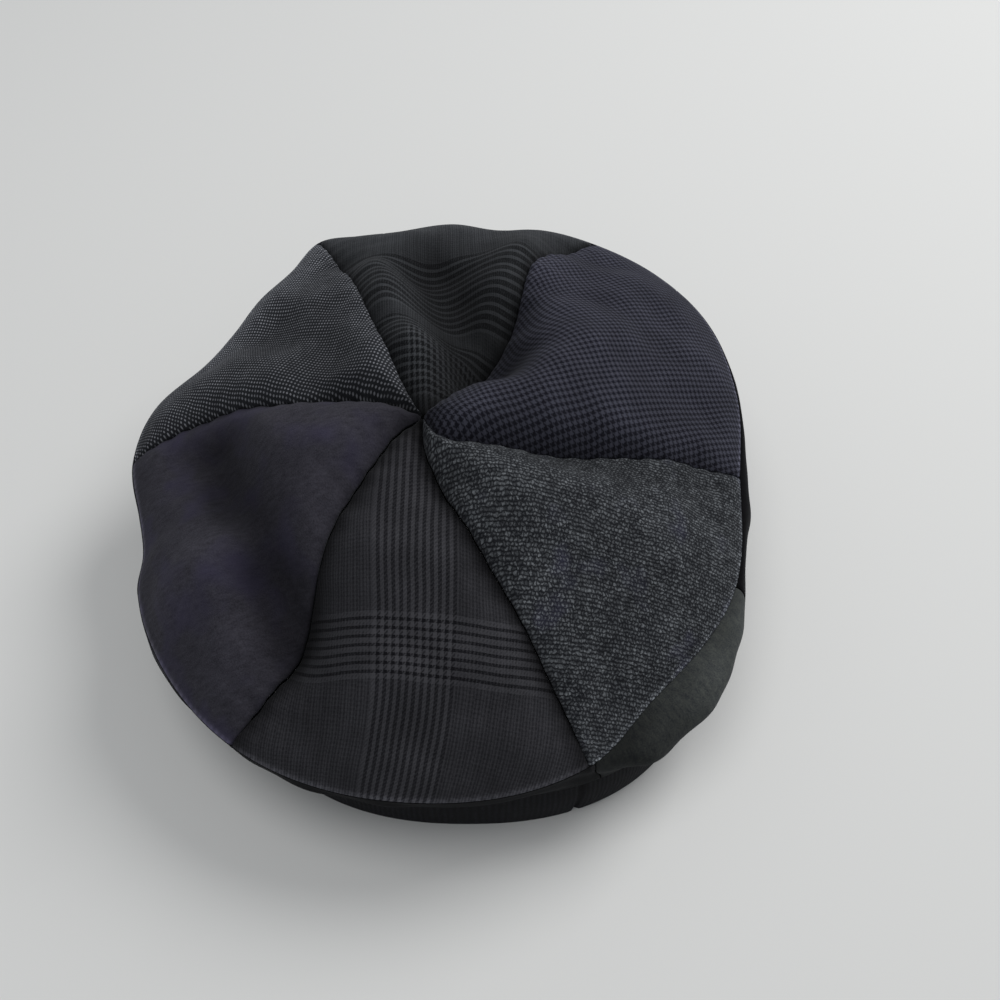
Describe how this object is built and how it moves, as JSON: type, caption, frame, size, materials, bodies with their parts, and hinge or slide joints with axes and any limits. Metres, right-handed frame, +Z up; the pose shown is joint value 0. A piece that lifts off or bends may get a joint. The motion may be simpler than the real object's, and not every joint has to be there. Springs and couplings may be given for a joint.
{
  "type": "patchwork tam cap",
  "caption": "Soft slouchy patchwork wool cap: wedge panels of different dark suiting cloths meet at a hub, over side pieces and a plain black headband.",
  "frame": {"origin": "middle of the cap's footprint box on the surface that it rests on, which is the bottom rim of the headband", "axes": "+X to the wearer-facing right in the picture, +Y from the low front to the high back, +Z up from the headband's rim through the crown"},
  "size_m": [0.2686, 0.2762, 0.1144],
  "materials": {
    "gore_right_houndstooth_cloth": "navy and grey small houndstooth suiting wool, matt",
    "gore_back_plaid_cloth": "dark charcoal glen plaid suiting wool, matt",
    "gore_left_birdseye_cloth": "mid grey birdseye suiting wool, matt",
    "gore_left_flannel_cloth": "plain dark violet-navy flannel, matt, slightly napped",
    "gore_front_plaid_cloth": "charcoal glen plaid on a fine striped ground, suiting wool, matt",
    "gore_right_tweed_cloth": "grey salt-and-pepper tweed with light flecks, matt",
    "side_right_black_cloth": "plain black wool, matt",
    "side_back_right_cloth": "plain charcoal wool, matt",
    "side_back_left_cloth": "plain charcoal wool, matt",
    "side_left_cloth": "plain charcoal wool, matt",
    "side_front_left_cloth": "plain black wool, matt",
    "side_front_green_cloth": "plain grey-green wool, matt",
    "headband_cloth": "plain black ribbed wool band, matt"
  },
  "bodies": {
    "root": {"gore_right_houndstooth": "gore_right_houndstooth_cloth", "gore_back_plaid": "gore_back_plaid_cloth", "gore_left_birdseye": "gore_left_birdseye_cloth", "gore_left_flannel": "gore_left_flannel_cloth", "gore_front_plaid": "gore_front_plaid_cloth", "gore_right_tweed": "gore_right_tweed_cloth", "side_right_black": "side_right_black_cloth", "side_back_right": "side_back_right_cloth", "side_back_left": "side_back_left_cloth", "side_left": "side_left_cloth", "side_front_left": "side_front_left_cloth", "side_front_green": "side_front_green_cloth", "headband": "headband_cloth"}
  },
  "joints": []
}
